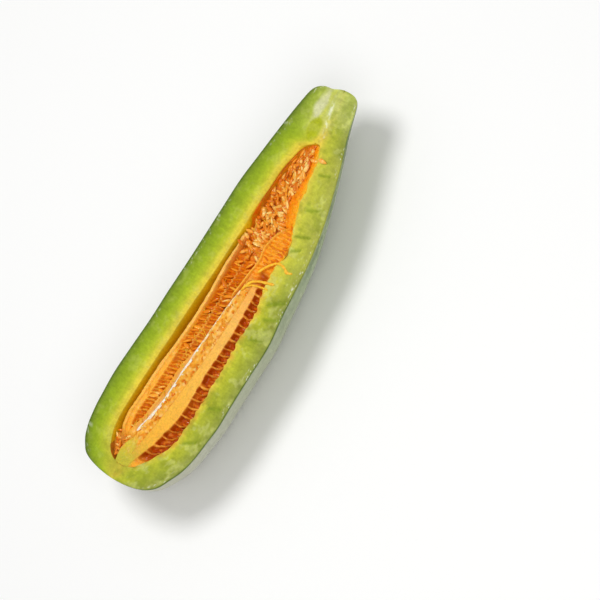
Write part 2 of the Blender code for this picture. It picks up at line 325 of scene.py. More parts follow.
def new_material(name):
    made = bpy.data.materials.new(name)
    made.use_nodes = True
    tree = made.node_tree
    tree.nodes.clear()
    return made, tree


def shades(tree, source, output, stops):
    """A colour ramp with sRGB hex stops."""
    ramp = node(tree, "ShaderNodeValToRGB", {}, [("Fac", source, output)])
    elements = ramp.color_ramp.elements
    while len(elements) < len(stops):
        elements.new(0.5)
    for element, (place, code) in zip(elements, stops):
        element.position = place
        element.color = (*linear(code), 1.0)
    return ramp


def grain(tree, place, scale, detail, roughness=0.5, output="Object"):
    """Noise over the object's own coordinates."""
    return node(tree, "ShaderNodeTexNoise", {"Scale": scale, "Detail": detail, "Roughness": roughness},
                [("Vector", place, output)])


def spread(tree, noise, low, high, start=0.3, stop=0.7):
    """Stretch the middle of a noise to run from low to high."""
    return node(tree, "ShaderNodeMapRange",
                {"From Min": start, "From Max": stop, "To Min": low, "To Max": high},
                [("Value", noise, "Fac")])


def shaded_tint(tree, factor, output):
    """The colours painted on the mesh, lightened and darkened by a factor."""
    tint = node(tree, "ShaderNodeAttribute", {"attribute_name": "tint"})
    return node(tree, "ShaderNodeVectorMath", {"operation": "SCALE"},
                [(0, tint, "Color"), ("Scale", factor, output)])


def ripples(tree, strength, distance, height, output="Fac"):
    return node(tree, "ShaderNodeBump", {"Strength": strength, "Distance": distance},
                [("Height", height, output)])


def surface(tree, settings, *links):
    shader = node(tree, "ShaderNodeBsdfPrincipled", settings, links)
    node(tree, "ShaderNodeOutputMaterial", {}, [("Surface", shader, "BSDF")])


def wet_flesh_material():
    """Freshly cut melon flesh: soft, wet, slightly see-through, with fine fibres and specks."""
    made, tree = new_material("cut_melon_flesh_wet")
    place = node(tree, "ShaderNodeTexCoord")
    # Cell clumps 1.6 mm across lighten and darken the flesh.
    clumps = grain(tree, place, 620.0, 4.0, 0.6)
    # Fibres run across the fruit, about 0.8 mm apart.
    squeeze = node(tree, "ShaderNodeMapping", {"Scale": (1.0, 0.28, 1.0)}, [("Vector", place, "Object")])
    fibres = grain(tree, squeeze, 1200.0, 3.0, 0.55, "Vector")
    clump_light = spread(tree, clumps, 0.90, 1.12)
    fibre_light = spread(tree, fibres, 0.94, 1.06)
    both = node(tree, "ShaderNodeMath", {"operation": "MULTIPLY"},
                [(0, clump_light, "Result"), (1, fibre_light, "Result")])
    relief = node(tree, "ShaderNodeMath", {"operation": "ADD"}, [(0, clumps, "Fac"), (1, fibres, "Fac")])
    surface(tree, {"IOR": 1.36, "Subsurface Weight": 0.25, "Subsurface Radius": (0.9, 1.0, 0.3),
                   "Subsurface Scale": 0.0015, "Specular IOR Level": 0.12},
            ("Base Color", shaded_tint(tree, both, "Value"), "Vector"),
            ("Roughness", spread(tree, clumps, 0.28, 0.55, 0.35, 0.65), "Result"),
            ("Normal", ripples(tree, 0.35, 0.0004, relief, "Value"), "Normal"))
    return made


def rind_material():
    """Smooth waxy rind: pale at the blossom end, green with broken dark stripes at the stem end."""
    made, tree = new_material("muskmelon_rind_waxy")
    mottle = grain(tree, node(tree, "ShaderNodeTexCoord"), 420.0, 5.0, 0.65)
    surface(tree, {"IOR": 1.45, "Roughness": 0.42, "Subsurface Weight": 0.05,
                   "Subsurface Radius": (1.0, 1.0, 0.5), "Subsurface Scale": 0.001},
            ("Base Color", shaded_tint(tree, spread(tree, mottle, 0.88, 1.12), "Result"), "Vector"),
            ("Normal", ripples(tree, 0.15, 0.0003, mottle), "Normal"))
    return made


# ---------------------------------------------------------------- the cavity's walls

def wall_reach(x):
    """Half width of the cavity, kept a little open past its ends."""
    return np.maximum(cavity_half_width(x), 0.08 * fruit_half_width(x) + 0.02)


def rim(x, side):
    """Where the cut face meets the cavity wall: 1 is the left side, -1 the right."""
    x = np.asarray(x, float)
    plain = cavity_middle(x) + side * wall_reach(x)
    drawn = curve(LEFT_RIM, x) if side > 0 else curve(RIGHT_RIM, x) + scallop(x)
    inside = ease(CAVITY_LOW, CAVITY_LOW + 6, x) * fade(CAVITY_HIGH - 6, CAVITY_HIGH, x)
    return plain + (drawn - plain) * inside


def wall_y(x, down, side):
    """Where the cavity wall stands at a depth under the cut face."""
    share = np.arcsin(np.clip(down / np.maximum(cavity_depth(x), 0.01), 0, 1)) / (math.pi / 2)
    inward = 1 - np.cos(share * math.pi / 2)
    plain = cavity_middle(x) + side * wall_reach(x) * (1 - WALL_CURVE * inward)
    flare = rim(x, side) - cavity_middle(x) - side * wall_reach(x)
    return plain + flare * np.exp(-share * (6.0 if side > 0 else 3.5))


def floor_depth(x, y):
    """Depth of the cavity's floor and walls under any point of its mouth."""
    off = np.abs(y - cavity_middle(x)) / wall_reach(x)
    cosine = np.clip(1 - (1 - off) / WALL_CURVE, 0, 1)
    return cavity_depth(x) * np.sqrt(1 - cosine**2)


# ---------------------------------------------------------------- rind and flesh

BLOSSOM_CAP = 34
BARREL_RINGS = 316
STEM_CAP = 34
SPANS = (36, 22, 8, 22, 62)
UNDER_SIDES = 90


def ring_stations():
    """x of each ring, closer together on the two round ends."""
    low, high = 0.80, 0.93
    angle = np.linspace(0, math.acos(low**4), BLOSSOM_CAP + 1)[:-1]
    blossom = -np.cos(angle) ** 0.25
    middle = np.linspace(-low, high, BARREL_RINGS + 1)
    angle = np.linspace(math.acos(high**30), 0, STEM_CAP + 1)[1:]
    stem = np.cos(angle) ** (1 / 30)
    return np.concatenate([blossom, middle, stem]) * HALF_LENGTH


# Tears across the right flesh: two ends on the cut face, breadth and depth.
CREASES = (
    (((45, -20.0), (49, -33.5)), 1.1, 0.9),
    (((36, -23.5), (40, -31.0)), 1.3, 0.7),
    (((1, -27.0), (8, -41.0)), 1.8, 1.0),
    (((-8, -30.0), (-3, -43.0)), 1.2, 0.6),
    (((-22, -29.0), (-19, -40.0)), 1.0, 0.5),
    (((-70, -27.0), (-66, -38.0)), 1.4, 0.6),
    (((-96, -24.0), (-90, -34.0)), 1.2, 0.6),
    (((62, -19.0), (66, -30.0)), 1.0, 0.5),
    (((84, -14.0), (87, -24.0)), 1.0, 0.5),
)


def crease(x, y, points, breadth):
    """1 along the bottom of a tear, falling to 0 at its sides and its two ends."""
    (start_x, start_y), (end_x, end_y) = points
    t = np.clip((y - start_y) / (end_y - start_y), 0, 1)
    off = x - start_x - (end_x - start_x) * t
    return ease(0.0, 0.15, t) * fade(0.85, 1.0, t) * np.exp(-(off / breadth) ** 2)


def build_flesh():
    x = ring_stations()
    rows = len(x)
    marks = np.cumsum((0,) + SPANS)
    half = fruit_half_width(x)
    left_half = edge_half_width(x, 1)
    right_half = edge_half_width(x, -1)
    middle = fruit_middle(x)
    depth = cavity_depth(x)
    left_rim = rim(x, 1)
    right_rim = rim(x, -1)
    grid = np.zeros((rows, sum(SPANS) + UNDER_SIDES, 3))
    grid[:, :, 0] = x[:, None]
    skin = np.zeros(grid.shape[:2])
    wall = np.zeros(grid.shape[:2])
    side = np.where(np.arange(grid.shape[1]) < marks[2] + 4, 1, -1) * np.ones((rows, 1))
    for j in range(SPANS[0] + 1):
        t = (j / SPANS[0]) ** 0.9
        grid[:, j, 1] = middle + left_half + (left_rim - middle - left_half) * t
        skin[:, j] = t
    for first, way in ((marks[1], 1), (marks[4], -1)):
        for j in range(SPANS[1] + 1):
            down = depth * math.sin(j / SPANS[1] * math.pi / 2)
            column = first + way * j
            grid[:, column, 1] = wall_y(x, down, way)
            wall[:, column] = down
            skin[:, column] = 1
    for j in range(SPANS[2] + 1):
        share = j / SPANS[2]
        grid[:, marks[2] + j, 1] = grid[:, marks[2], 1] * (1 - share) + grid[:, marks[3], 1] * share
        wall[:, marks[2] + j] = depth
        skin[:, marks[2] + j] = 1
    for j in range(1, SPANS[4] + 1):
        t = j / SPANS[4]
        grid[:, marks[4] + j, 1] = right_rim + (middle - right_half - right_rim) * t
        skin[:, marks[4] + j] = 1 - t
    flat = marks[5] + 1
    gx, gy = grid[:, :, 0], grid[:, :, 1]
    # The left rim rolls over; the right one is torn and only softened.
    roll = np.where(side > 0, 0.9 * ease(0.84, 1.0, skin) ** 2, 0.35 * ease(0.93, 1.0, skin))
    roll = roll * np.minimum(1, depth / 8)[:, None] * ease(-122, -112, gx)
    rough = np.where(side < 0, 0.42, 0.12) * ease(0.0, 0.06, skin)
    relief = rough * (lumps(gx, gy, 4.5, 3) + 0.6 * lumps(gx, gy * 0.35, 1.7, 4)) - 0.5 * rough
    for points, breadth, sink in CREASES:
        relief = relief - sink * crease(gx, gy, points, breadth)
    roll = np.where(wall < 0.01, roll, roll * np.exp(-wall / 1.5))
    grid[:, :flat, 2] = (CUT - wall - roll + relief)[:, :flat]
    for j in range(1, UNDER_SIDES):
        angle = math.pi + math.pi * j / UNDER_SIDES
        column = marks[5] + j
        reach = (left_half if math.cos(angle) > 0 else right_half) * math.cos(angle)
        grid[:, column, 1] = middle + reach * (1 + curve(TUCK, x) * math.sin(angle))
        grid[:, column, 2] = np.maximum(CUT + half * under_share(x) * math.sin(angle), 0.0)
        skin[:, column] = 0
    # The stem end sinks to a round scar.
    radius = np.sqrt((gy - SCAR_Y) ** 2 + (grid[:, :, 2] - CUT) ** 2)
    grid[:, :, 0] -= SCAR_SINK * np.exp(-(2 * radius / SCAR_WIDTH) ** 2) * ease(112, HALF_LENGTH, gx)
    grid[:, :, 0] += ease(108, HALF_LENGTH, gx) * (0.7 - STEM_SLANT * (gy - middle[:, None]))
    made, row, column = closed_form("rind_and_flesh_half", grid)
    bpy.ops.object.shade_smooth_by_angle(angle=math.radians(40))
    under = np.zeros(gx.shape, bool)
    under[:, flat:] = True
    colour_flesh(made, grid, skin, wall, side, under, row, column)
    return made


FLESH_LEFT = ((0.0, "3f5516"), (0.035, "5d7420"), (0.12, "7a9026"), (0.25, "869e20"), (0.45, "96ab22"),
              (0.60, "a8b72a"), (0.75, "bcbf30"), (0.88, "d6c840"), (1.0, "e2c840"))
FLESH_RIGHT = ((0.0, "4e6220"), (0.025, "6c7c30"), (0.06, "8f9844"), (0.16, "939a40"), (0.32, "9ca43a"),
               (0.55, "aab034"), (0.75, "b6b832"), (0.90, "cec03c"), (1.0, "e4c444"))
# Cavity wall tints by depth under the cut face: the flesh's own yellow to amber near the rim, then browner
# deeper down as painted shade.
WALL_LEFT = ((0.0, "dcc63e"), (1.0, "dcb820"), (2.5, "deb010"), (5.0, "d8a008"), (9.0, "c88604"),
             (20.0, "9c5804"))
WALL_RIGHT = ((0.0, "e0c850"), (0.8, "dca838"), (2.0, "c8741a"), (6.0, "a8480a"), (20.0, "8a3a06"))
# Rind tones along the fruit, set darker than the rind's own colour as painted shade on the underside.
RIND = ((-135.0, "bdbca6"), (-90.0, "b6b8a2"), (-30.0, "aab092"), (30.0, "9caa84"), (90.0, "909f6c"),
        (125.0, "88965c"), (134.0, "86885a"))


def colour_flesh(made, grid, skin, wall, side, under, row, column):
    gx, gy = grid[:, :, 0], grid[:, :, 1]
    colours = mix(tints(FLESH_RIGHT, skin), tints(FLESH_LEFT, skin), (side > 0) * 1.0)
    # The cavity walls darken with depth: partly the flesh's own amber, partly painted shade.
    walls = mix(tints(WALL_RIGHT, wall), tints(WALL_LEFT, wall), (side > 0) * 1.0)
    walls = stain(walls, "c4b838", fade(-119, -112, gx) * (gy < 14.5))
    colours = mix(colours, walls, ease(0.0, 0.4, wall))
    # The right flesh grows paler and yellower towards the stem and round the crossing strands.
    flat_face = (side < 0) * (wall < 0.1)
    colours = stain(colours, "d6d25a", 0.30 * flat_face * ease(0, 40, gx) * fade(90, 110, gx))
    glow = bell(gx, 15, 12) * ease(0.35, 0.9, skin) * flat_face
    colours = stain(colours, "dccb48", 0.6 * glow)
    # Pulp smears the lip of the pockets orange here and there.
    smear = ease(0.78, 1.0, skin) * ease(-0.1, 0.7, lumps(gx, 0 * gy, 4.5, 61)) * fade(0, 20, gx)
    colours = stain(colours, "dc9c34", 0.65 * smear * flat_face)
    # Both ends of the cut face: yellow-green flesh round the blossom end, pale core at the stem.
    greener = fade(-120, -98, gx) * ease(0.4, 0.85, skin) * (wall < 0.1)
    colours = stain(colours, "a9b234", 0.6 * greener)
    blossom = bell(gx, -127, 6) * bell(gy, 10, 7)
    colours = stain(colours, "b4a838", 0.6 * blossom * (skin > 0.05))
    stem = ease(98, 112, gx) * bell(gy, 3.5, 11)
    colours = stain(colours, "c0c664", 0.75 * stem)
    pale = ease(-0.3, 0.6, 1.6 * bell(gx, 122, 11) * bell(gy, 9.0, 4.5) - 0.6
                + 0.4 * lumps(gx * 0.5, gy, 2.5, 32))
    colours = stain(colours, "b6bf68", 0.7 * ease(108, 124, gx) * (gy < 3))
    colours = stain(colours, "d6d5ae", 0.75 * pale)
    patch = ease(0.2, 0.55, bell(gx, 108, 7.5) * bell(gy, 4.8, 5.2)
                 + 0.12 * lumps(gx, gy, 4.0, 33))
    colours = stain(colours, "a6ae10", 0.88 * patch)
    crack_y = curve(((104, -4.6), (112, -2.3), (117, -0.5), (124, 0.8), (131, 2.6)), gx)
    crack = bell(gy, crack_y, 1.1) * ease(102, 107, gx) * fade(128, 132, gx)
    crack = crack * ease(-0.5, 0.3, lumps(gx, gy, 1.6, 31))
    colours = stain(colours, "eceed2", 0.8 * crack)
    # Right of the cavity the flesh is blotchy and torn, and darker green along its creases as painted shade.
    blotch = np.where(side < 0, 1.0, 0.35) * ease(0.02, 0.12, skin) * (wall < 0.1)
    dark_green = ease(0.1, 0.7, lumps(gx, gy * 0.7, 8.0, 34) + 0.6 * lumps(gx, gy, 2.4, 35))
    colours = stain(colours, "869428", 0.42 * blotch * dark_green)
    pale_spots = ease(0.15, 0.8, lumps(gx, gy * 0.7, 6.0, 36) + 0.6 * lumps(gx, gy, 1.8, 37))
    colours = stain(colours, "ccd078", 0.42 * blotch * pale_spots)
    # Painted glints: little pale flecks along both edges of the skin stand in for wet highlights.
    painted_glints = ease(0.45, 0.8, lumps(gx, gy, 0.9, 38)) * ease(-0.1, 0.6, lumps(gx, 0 * gy, 13.0, 39))
    near_skin = ease(0.015, 0.05, skin) * fade(0.10, 0.22, skin) * (wall < 0.1)
    colours = stain(colours, "f4f6e4", 0.75 * painted_glints * near_skin * np.where(side < 0, 1.0, 0.45))
    # Painted shade along the creases: their bottoms are stained darker green.
    for points, breadth, _ in CREASES:
        colours = stain(colours, "7d9020", 0.75 * (wall < 0.1) * crease(gx, gy, points, breadth))
    mottle = 0.04 * lumps(gx, gy, 7.0, 9) + np.where(side < 0, 0.10, 0.06) * lumps(gx, gy, 2.6, 10)
    streaks = lumps(gx, gy * 0.18, 1.4, 62) * ease(-0.6, 0.5, lumps(gx, gy, 11.0, 63))
    colours *= (1 + mottle + 0.09 * streaks)[:, :, None]
    # The rind, with broken stripes that strengthen towards the stem.
    around = np.arctan2(CUT - grid[:, :, 2], gy - fruit_middle(gx))
    rind = tints(RIND, gx)
    wander = 0.8 * lumps(gx, around * 20, 30, 12) + 0.7 * lumps(gx, around * 20, 7, 15)
    wander = wander + 0.35 * lumps(gx, around * 30, 2.2, 16)
    stripe = np.sin(around * 11 + wander)
    broken = ease(-0.7, 0.7, lumps(gx * 0.6, around * 20, 5.0, 13) + 0.5 * lumps(gx, around * 30, 1.7, 17))
    strength = ease(-60, 70, gx) * ease(0.0, 1.0, stripe) * (0.25 + 0.75 * broken)
    rind = stain(rind, "566b3e", 0.72 * strength)
    fleck = ease(0.55, 0.9, lumps(gx, around * 40, 1.6, 14)) * ease(-80, 40, gx)
    rind = stain(rind, "d8dcb8", 0.4 * fleck)
    colours[under] = rind[under]
    paint_colour(made, "tint", np.clip(colours, 0, 1)[row, column])
    mesh = made.data
    mesh.materials.append(wet_flesh_material())
    mesh.materials.append(rind_material())
    corner = np.zeros(len(mesh.loops), int)
    mesh.loops.foreach_get("vertex_index", corner)
    starts = np.zeros(len(mesh.polygons), int)
    mesh.polygons.foreach_get("loop_start", starts)
    slots = np.maximum.reduceat(under[row, column][corner].astype(np.int32), starts)
    mesh.polygons.foreach_set("material_index", slots.astype(np.int32))


# ---------------------------------------------------------------- seed pulp

PULP_ROWS = 440
PULP_CAP_ROWS = 18
PULP_TOP = 150
PULP_UNDER = 30
GUTTER_DEPTH = 9.5
# Depth at which the pulp meets the left wall beyond the gutter.
UPPER_LEFT_DOWN = ((24, 9.5), (38, 6.0), (50, 3.4), (72, 2.4), (98, 1.8))
CELL_PITCH = 2.6
# Pulp tint by depth: the pulp's own orange, turning darker lower down partly as painted shade.
PULP_BY_DEPTH = ((0.0, "fad080"), (2.0, "f8b23c"), (3.3, "f09818"), (4.6, "e27e0a"), (7.0, "d06004"))
BAND_TINT = ((-125, "c8b43c"), (-114, "dcb03c"), (-100, "f0b03a"), (-60, "f3b84a"), (-20, "f4b858"),
             (10, "f0ac50"))


def pulp_stations():
    low, high = CAVITY_LOW - 0.3, CAVITY_HIGH - 0.2
    cap = 2.5
    ends = cap * (1 - np.cos(np.linspace(0, math.pi / 2, PULP_CAP_ROWS + 1)))[:-1]
    return np.concatenate([low + ends, np.linspace(low + cap, high - cap, PULP_ROWS), (high - ends)[::-1]])


def line_mask(y, line, half, soft):
    """1 within half of a line, falling to 0 over the soft width."""
    return 1 - ease(half, half + soft, np.abs(y - line))


def cell_count(x, y):
    """Whole numbers fall in the middle of the cells between ridge and strand."""
    return (x + 0.30 * (y - curve(STRAND, x)) + 1.0 * lumps(x, y, 7.0, 44)) / CELL_PITCH


def pulp_surface(x, y):
    """Depth and colour of the pulp's top at every point."""
    ridge = curve(RIDGE, x)
    strand = curve(STRAND, x)
    band_left = curve(BAND_LEFT, x)
    band_right = curve(BAND_RIGHT, x) + 0.35 * lumps(x, 0 * x, 3.0, 41)
    membrane = curve(MEMBRANE, x)
    upper = ease(-4, 34, x)
    lower = 1 - ease(6, 14, x)
    fine = lumps(x, y, 1.1, 42)
    soft = lumps(x, y, 3.2, 43)
    # The bed between ridge and strand: cells between ribs that stand across the fruit.
    bed = curve(((-130, 3.0), (-30, 3.2), (5, 4.6), (42, 6.2), (72, 5.4), (98, 4.2)), x) + 0.6 * soft
    in_from_strand = 1.0 + 3.6 * fade(-58, -38, x)
    in_from_ridge = 1.2 + 2.4 * fade(-58, -38, x)
    ladder = (1 - upper) * ease(0.0, 1.2, y - strand - in_from_strand)
    ladder = ladder * fade(-1.2, 0.0, y - ridge + in_from_ridge)
    cell = np.abs(np.sin(math.pi * cell_count(x, y)))
    cell_depth = 1.5 * ease(0.2, 0.9, cell) - 0.4 + 0.5 * lumps(x, y, 1.8, 51)
    depth = bed + ladder * cell_depth - 0.7 * (1 - upper) * (1 - ladder)
    # Colour follows depth; the darker deep tones are partly painted shade.
    colour = tints(PULP_BY_DEPTH, depth)
    dark_cell = np.maximum(ease(0.3, 0.9, cell), ease(0.2, 0.6, lumps(x, y, 3.4, 52)))
    colour = stain(colour, "c25208", 0.6 * ladder * dark_cell)
    # A thin second thread of pulp down the middle of the cells.
    second = strand + 0.55 * (ridge - strand) + 1.2 * lumps(x, 0 * x, 14.0, 53)
    thread = line_mask(y, second, 0.35, 0.6) * (1 - upper) * ease(-56, -44, x)
    depth = depth - 0.9 * thread
    colour = stain(colour, "f6b850", 0.8 * thread)
    # A pale skirt of jelly on the left of the white strand.
    skirt = line_mask(y, strand + 1.7, 1.3, 2.4) * (1 - 0.8 * ease(-62, -34, x)) * ease(-106, -98, x)
    depth = blend(depth, 2.0, skirt)
    skirt_tint = tints(((-0.5, "e2b68c"), (1.2, "e0ac74"), (3.0, "e29a3c")), y - strand)
    colour = mix(colour, skirt_tint, 0.85 * skirt)
    # The strip of little dots between strand and band.
    strip = lower * fade(-0.2, 0.8, y - strand) * ease(-0.4, 0.4, y - band_left)
    dots = ease(0.0, 0.6, lumps(0.8 * x + 0.6 * y, 0.8 * y - 0.6 * x, 1.9, 45) + 0.4 * fine)
    depth = blend(depth, 1.0 + 1.1 * dots, strip)
    strip_tint = tints(((-1, "eea02c"), (0, "f0ae40"), (1, "f6c674")), lumps(x, y, 1.7, 48))
    colour = mix(colour, stain(strip_tint, "d8860e", 0.65 * dots), strip)
    # Pockets with thin walls between them, under the level of the band. Their hollows darken to red-brown:
    # partly the dark seeds in jelly, partly painted shade.
    bowed = (0.07 + 0.05 * lumps(x, 0 * x, 7.0, 64)) * (band_right - y - 3.0) ** 2
    lean = (0.15 + 0.25 * lumps(x, 0 * x, 6.0, 65)) * (y - band_right)
    phase = pocket_phase(x - bowed + lean + 0.7 * lumps(x, y, 4, 46))
    inside = np.abs(np.sin(math.pi * phase))
    pocket_zone = lower * fade(-0.3, 0.5, y - band_right) * ease(-122, -112, x)
    hollow = ease(0.10, 0.55, inside + 0.15 * lumps(x, y, 2.6, 66))
    pocket_depth = 1.6 + 2.5 * hollow - 0.5 * ease(0.6, 1.0, inside) + 0.35 * fine
    fall = ease(0.1, 1.2, band_right - y)
    depth = blend(depth, 0.3 + (pocket_depth - 0.3) * fall, pocket_zone)
    pocket_colour = tints(((0, "f0a63e"), (0.35, "de8222"), (0.7, "c25408"), (1.0, "b04603")), hollow)
    pocket_colour = stain(pocket_colour, "e08420", 0.6 * ease(0.2, 0.8, lumps(x, y, 2.2, 47)))
    colour = mix(colour, pocket_colour, pocket_zone)
    # The level band of smooth flesh.
    band = lower * ease(-0.35, 0.25, y - band_right) * fade(-0.25, 0.35, y - band_left)
    depth = blend(depth, 0.15 + 0.08 * soft, band)
    colour = mix(colour, tints(BAND_TINT, x), band)
    colour = stain(colour, "d88a22", 0.6 * lower * line_mask(y, band_left, 0.2, 0.5) * ease(-112, -104, x))
    # The membrane's edge, and the pocket of close seeds on its right.
    lens = ease(8, 16, x) * fade(46, 50, x) * ease(0.0, 1.0, membrane - y)
    waves = np.sin(2 * math.pi * (x + 0.15 * y + 0.9 * lumps(x, y, 4.0, 55)) / 2.6)
    waves = waves * (0.15 + 0.6 * ease(-0.5, 0.5, lumps(x, y, 4.0, 56))) * fade(38, 46, x)
    depth = blend(depth, 2.6 + 0.6 * waves + 0.3 * soft, lens)
    lens_tint = tints(((-1, "fab848"), (0, "f89c18"), (1, "ea800a")), waves)
    colour = mix(colour, lens_tint, lens)
    # Painted shade: a sunk hollow in the membrane pocket, stained dark brown-orange.
    dark = np.exp(-((x - 14) / 3.6) ** 4) * np.exp(-((y + 14.5) / 3.4) ** 4)
    depth = depth + 1.8 * dark
    colour = stain(colour, "b04804", 0.9 * dark)
    # The smooth orange wall along the right of the upper seeds.
    strip_left = curve(STRIP_LEFT, x) + 0.8 * lumps(x, 0 * x, 5.0, 54)
    strip_top = ease(44, 49, x) * ease(-0.8, 1.0, strip_left - y)
    strip_top = strip_top * ease(0.0, 1.0, np.maximum(y - membrane, x - 49))
    right = rim(x, -1)
    slope = np.clip((y - right) / np.maximum(strip_left - right, 1), 0, 1)
    depth = blend(depth, 0.7 + 2.9 * slope + 0.5 * soft + 0.6 * fine, strip_top)
    strip_colour = tints(((0, "fbc030"), (0.15, "fcac20"), (0.5, "f8960e"), (1, "ea840a")), slope)
    strip_colour = stain(strip_colour, "e06c04", 0.55 * ease(0.1, 0.8, lumps(x, y, 1.9, 68)))
    colour = mix(colour, strip_colour, strip_top)
    fringe = ease(10, 18, x) * fade(0.4, 2.4, y - right)
    depth = blend(depth, 0.7, fringe)
    colour = stain(colour, "f2ac1c", 0.8 * fringe)
    edge = line_mask(y, membrane, 0.45, 0.7) * ease(-8, -2, x) * fade(47, 50, x)
    depth = blend(depth, 1.0, edge)
    colour = stain(colour, "f6b03a", 0.9 * edge)
    # The ridge on the left and the deep gutter behind it, which is painted dark brown as its shade.
    ridge_on = ease(-112, -104, x) * fade(30, 37, x)
    behind = ease(0.9, 2.0, y - ridge)
    gutter = behind * ridge_on
    depth = blend(depth, GUTTER_DEPTH, gutter)
    colour = stain(colour, "96600a", gutter)
    crest = line_mask(y, ridge, 0.85, 0.7) * ridge_on
    crest_depth = 0.9 + 0.25 * soft + 0.15 * fine
    depth = blend(depth, crest_depth, crest)
    crest_tint = tints(((-110, "f2b040"), (-60, "f4b850"), (0, "f5bc58"), (36, "eeb050")), x)
    colour = mix(colour, crest_tint, crest)
    # Towards the blossom end the pulp turns into yellow-green flesh.
    tip = 1 - ease(-122, -113, x)
    tongue_left = curve(TONGUE_LEFT, x)
    tongue = fade(-112, -103, x) * ease(-0.8, 0.5, tongue_left - y) * ease(-0.3, 0.5, y - band_left)
    depth = blend(depth, 0.5 + 0.3 * soft, tongue)
    orange = ease(-0.1, 0.6, lumps(x, y, 3.6, 67)) * ease(-120, -112, x)
    tongue_tint = stain(np.array(linear("cdbb3a")), "ea9a28", orange)
    colour = mix(colour, tongue_tint, 0.9 * tongue)
    cluster = fade(-112, -104, x) * ease(-0.5, 0.8, y - tongue_left)
    depth = blend(depth, 4.2 + 0.5 * soft, cluster)
    colour = stain(colour, "b86414", 0.8 * cluster)
    colour = stain(colour, "bdb638", 0.9 * tip * ease(-2, 4, y) * (1 - cluster))
    depth = depth * (1 - 0.8 * tip * (1 - cluster))
    # The bed of seeds climbs the left wall near the stem end.
    climb = curve(UPPER_LEFT_DOWN, x) + 0.45 * np.maximum(curve(LEFT_RIM, x) - 1.0 - y, 0)
    on_bed = ease(34, 44, x) * (1 - strip_top)
    depth = blend(depth, np.minimum(depth, climb), on_bed)
    depth = depth + 0.10 * fine * (1 - 0.8 * band)
    colour = colour * (1 + 0.07 * fine + 0.05 * soft)[..., None]
    return depth, np.clip(colour, 0, 1)


def build_pulp():
    x = pulp_stations()
    rows = len(x)
    depth_here = cavity_depth(x)
    end_down = curve(((-125, 0.2), (-120, 2.4), (-114, 5.0), (-106, GUTTER_DEPTH)), x)
    left_down = np.where(x < 0, end_down, curve(UPPER_LEFT_DOWN, x))
    left_down = np.minimum(left_down, 0.9 * depth_here)
    right_down = np.minimum(0.2 + 1.4 * ease(-124, -108, x) * fade(8, 16, x), 0.5 * depth_here)
    left = wall_y(x, left_down, 1) - 0.05 + 0.4 * fade(-118, -112, x)
    right = wall_y(x, right_down, -1) + 0.05 - 0.5 * (ease(10, 16, x) + 1 - ease(-118, -112, x))
    share = np.linspace(0, 1, PULP_TOP)[None, :]
    top_y = left[:, None] + (right - left)[:, None] * share
    top_x = np.repeat(x[:, None], PULP_TOP, axis=1)
    depth, colour = pulp_surface(top_x, top_y)
    roof = floor_depth(top_x, top_y)
    depth = np.minimum(depth, np.maximum(roof - 0.3, 0.5 * roof))
    share = np.linspace(1, 0, PULP_UNDER + 2)[1:-1][None, :]
    under_y = left[:, None] + (right - left)[:, None] * share
    under_x = np.repeat(x[:, None], PULP_UNDER, axis=1)
    under_depth = np.maximum(floor_depth(under_x, under_y) - 0.1, 0.6 * floor_depth(under_x, under_y))
    grid = np.zeros((rows, PULP_TOP + PULP_UNDER, 3))
    grid[:, :, 0] = x[:, None]
    grid[:, :PULP_TOP, 1] = top_y
    grid[:, PULP_TOP:, 1] = under_y
    grid[:, :PULP_TOP, 2] = CUT - depth
    grid[:, PULP_TOP:, 2] = CUT - under_depth
    grid[0] = grid[0].mean(axis=0)
    grid[-1] = grid[-1].mean(axis=0)
    made, row, column = closed_form("seed_pulp_bed", grid)
    bpy.ops.object.shade_smooth_by_angle(angle=math.radians(50))
    colours = np.tile(np.array(linear("c86a10")), (rows, PULP_TOP + PULP_UNDER, 1))
    colours[:, :PULP_TOP] = colour
    paint_colour(made, "tint", colours[row, column])
    made.data.materials.append(pulp_material())
    return made


def pulp_material():
    """Orange pulp, wet and jelly-like: light runs a little way in, and the film on it glints."""
    made, tree = new_material("melon_pulp_wet_jelly")
    # Threads and cells of the pulp, about 1 mm.
    cells = grain(tree, node(tree, "ShaderNodeTexCoord"), 900.0, 4.0, 0.6)
    surface(tree, {"IOR": 1.37, "Roughness": 0.35, "Subsurface Weight": 0.35,
                   "Subsurface Radius": (1.2, 0.5, 0.12), "Subsurface Scale": 0.0015,
                   "Specular IOR Level": 0.14, "Coat Weight": 0.08, "Coat Roughness": 0.12},
            ("Base Color", shaded_tint(tree, spread(tree, cells, 0.88, 1.12), "Result"), "Vector"),
            ("Normal", ripples(tree, 0.4, 0.0004, cells), "Normal"))
    return made


# ---------------------------------------------------------------- seeds

SEED_LENGTH = 6.0
SEED_WIDTH = 2.9
SEED_THICKNESS = 1.6
BED_SEED_COUNT = 340
GUTTER_SEED_COUNT = 46
# The share of the pulp's cells that still hold their seed.
CELLS_FILLED = 0.74


def seed_form():
    """One seed lying along x: flat, round at one end and pointed at the other."""
    bpy.ops.object.select_all(action="DESELECT")
    bpy.ops.mesh.primitive_uv_sphere_add(segments=10, ring_count=7, radius=0.5, rotation=(0, math.pi / 2, 0))
    made = bpy.context.object
    bpy.ops.object.transform_apply(location=False, rotation=True, scale=False)
    for vertex in made.data.vertices:
        x, y, z = vertex.co
        narrow = 1 - 0.45 * (x + 0.5) ** 2
        vertex.co = Vector((x * SEED_LENGTH, y * SEED_WIDTH * narrow, z * SEED_THICKNESS * narrow)) * MM
    return made


def pulp_depth_at(x, y):
    return float(pulp_surface(np.array([x]), np.array([y]))[0][0])


